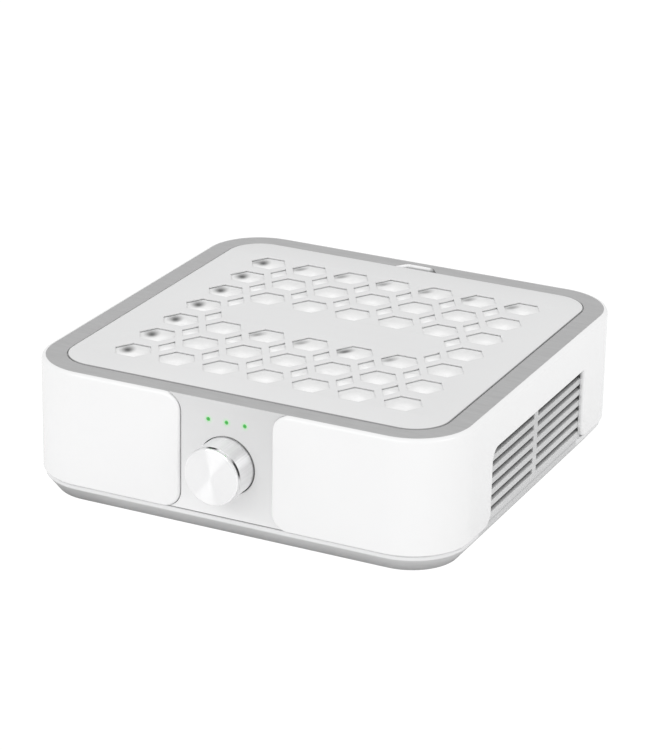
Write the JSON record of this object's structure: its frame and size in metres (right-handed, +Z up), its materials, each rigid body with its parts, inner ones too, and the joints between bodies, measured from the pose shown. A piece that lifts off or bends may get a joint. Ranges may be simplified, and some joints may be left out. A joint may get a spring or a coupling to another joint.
{
  "type": "nail dust collector",
  "caption": "Square desk-top nail dust collector with a lift-off honeycomb cover over a filter, louvred side vents, a round speed knob and status lights in front.",
  "frame": {"origin": "on the table, under the centre of the whole object's bounding box, knob included", "axes": "+Z up; the knob and lights face -Y; +X to the right as seen from the front"},
  "size_m": [0.265, 0.2824, 0.0824],
  "materials": {
    "shell_white": "gloss white ABS",
    "panel_white": "fine matt light grey ABS",
    "cover_grey": "fine matt light grey ABS",
    "ring_silver": "satin silver-grey paint on ABS",
    "base_silver": "satin silver-grey paint on ABS",
    "louvre_grey": "fine matt grey ABS",
    "frame_grey": "moulded grey ABS",
    "deck_grey": "moulded dark grey ABS",
    "fan_black": "moulded black glass-filled nylon",
    "filter_plastic": "moulded white plastic",
    "filter_paper": "white pleated filter paper",
    "filter_felt": "white nonwoven fibre sheet",
    "seal_foam": "black closed-cell foam",
    "foot_rubber": "black rubber",
    "steel": "zinc-plated steel",
    "cast_aluminium": "die-cast aluminium",
    "magnet": "sintered ferrite",
    "copper": "enamelled copper wire",
    "circuit_board": "green solder mask on glass-epoxy board",
    "component_black": "black plastic and sleeved can",
    "pin_metal": "plated brass",
    "knob_metal": "spun and brushed, polished bevel",
    "lens_green": "green light pipe, lit"
  },
  "bodies": {
    "body": {"base_tray": "base_silver", "rubber_feet": "foot_rubber", "base_screws": "steel", "inner_frame": "frame_grey", "top_ring": "ring_silver", "outer_shell": "shell_white", "louvre_left": "louvre_grey", "louvre_right": "louvre_grey", "control_panel": "panel_white", "led_lenses": "lens_green", "control_board": "circuit_board", "potentiometer": "steel", "fan_deck": "deck_grey", "deck_screws": "steel", "fan_guard": "deck_grey", "motor_bracket": "cast_aluminium", "motor_screws": "steel", "motor_bearings": "steel", "stator_core": "steel", "motor_coils": "copper", "main_board": "circuit_board", "board_components": "component_black", "board_screws": "steel", "dc_jack": "component_black", "jack_pin": "pin_metal"},
    "fan": {"impeller": "fan_black", "rotor_cup": "steel", "rotor_magnet": "magnet", "motor_spindle": "steel"},
    "knob": {"knob_cap": "knob_metal", "knob_core": "component_black", "knob_shaft": "steel"},
    "filter": {"filter_frame": "filter_plastic", "filter_media": "filter_paper", "filter_pad": "filter_felt", "filter_seal": "seal_foam"},
    "cover": {"cover_grille": "cover_grey"}
  },
  "joints": [
    {"name": "knob_turn", "type": "hinge", "parent": "body", "child": "knob", "pos_m": [0, -0.12375, 0.045], "axis": [0, -1, 0], "range_deg": [0, 270]},
    {"name": "fan_spin", "type": "hinge", "parent": "body", "child": "fan", "pos_m": [0, 0.00875, 0.02], "axis": [0, 0, 1], "continuous": true},
    {"name": "filter_lift", "type": "slide", "parent": "body", "child": "filter", "axis": [0, 0, 1], "range_m": [0, 0.06]},
    {"name": "cover_lift", "type": "slide", "parent": "filter", "child": "cover", "axis": [0, 0, 1], "range_m": [0, 0.05]}
  ]
}
